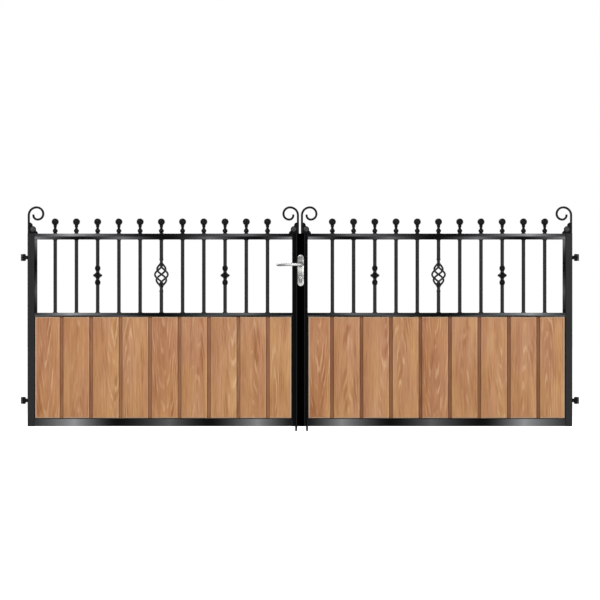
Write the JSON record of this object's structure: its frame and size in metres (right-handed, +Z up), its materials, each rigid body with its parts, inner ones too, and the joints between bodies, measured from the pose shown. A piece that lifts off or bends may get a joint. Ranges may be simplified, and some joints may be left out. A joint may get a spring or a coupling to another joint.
{
  "type": "wooden driveway gate, double-leaf, in a steel frame",
  "caption": "Double-leaf driveway gate: steel frames with timber boards below, round bars with ball finials above, scrolls, a lever lock and drop bolts.",
  "frame": {"origin": "centre of the flat outer face of the lower left hinge bracket", "axes": "+X along the closed gate to the right hinges, +Y away from the viewer through the leaves, +Z up"},
  "size_m": [3.06, 0.2017, 1.2355],
  "materials": {
    "black_steel": "satin-gloss powder coat",
    "timber": "stained softwood boards",
    "stainless": "satin"
  },
  "bodies": {
    "hinge_brackets": {"left_lower_bracket": "black_steel", "left_upper_bracket": "black_steel", "right_lower_bracket": "black_steel", "right_upper_bracket": "black_steel", "hinge_pins": "black_steel"},
    "left_leaf": {"left_hinge_stile": "black_steel", "left_meeting_stile": "black_steel", "left_top_rail": "black_steel", "left_mid_rail": "black_steel", "left_bottom_rail": "black_steel", "left_inner_strip": "black_steel", "left_plain_bars": "black_steel", "left_collared_bars": "black_steel", "left_basket_bar": "black_steel", "left_finials": "black_steel", "left_boards": "timber", "left_cleats": "black_steel", "left_scrolls": "black_steel", "left_scroll_feet": "black_steel", "left_hinge_eyes": "black_steel", "left_bolt_guides": "black_steel", "slam_channel": "black_steel", "lock_case": "stainless", "handle_plate": "stainless", "key_cylinder": "stainless"},
    "right_leaf": {"right_hinge_stile": "black_steel", "right_meeting_stile": "black_steel", "right_top_rail": "black_steel", "right_mid_rail": "black_steel", "right_bottom_rail": "black_steel", "right_inner_strip": "black_steel", "right_plain_bars": "black_steel", "right_collared_bars": "black_steel", "right_basket_bar": "black_steel", "right_finials": "black_steel", "right_boards": "timber", "right_cleats": "black_steel", "right_scrolls": "black_steel", "right_scroll_feet": "black_steel", "right_hinge_eyes": "black_steel", "right_bolt_guides": "black_steel"},
    "lever_set": {"lever_handle": "stainless", "lever_spindle": "stainless"},
    "left_bolt": {"left_drop_bolt": "black_steel"},
    "right_bolt": {"right_drop_bolt": "black_steel"}
  },
  "joints": [
    {"name": "left_leaf_swing", "type": "hinge", "parent": "hinge_brackets", "child": "left_leaf", "pos_m": [0.016, -0.019, 0], "axis": [0, 0, -1], "range_deg": [0, 90]},
    {"name": "right_leaf_swing", "type": "hinge", "parent": "hinge_brackets", "child": "right_leaf", "pos_m": [3.044, -0.019, 0], "axis": [0, 0, 1], "range_deg": [0, 90]},
    {"name": "lever_turn", "type": "hinge", "parent": "left_leaf", "child": "lever_set", "pos_m": [1.534, -0.047, 0.745], "axis": [0, -1, 0], "range_deg": [0, 45], "stiffness_Nm_per_rad": 1.2, "springref_deg": -28.65},
    {"name": "left_bolt_slide", "type": "slide", "parent": "left_leaf", "child": "left_bolt", "axis": [0, 0, 1], "range_m": [-0.1, 0]},
    {"name": "right_bolt_slide", "type": "slide", "parent": "right_leaf", "child": "right_bolt", "axis": [0, 0, 1], "range_m": [-0.1, 0]}
  ],
  "couplings": [
    {"joint": "right_leaf_swing", "follows": "left_leaf_swing", "ratio": 1}
  ]
}
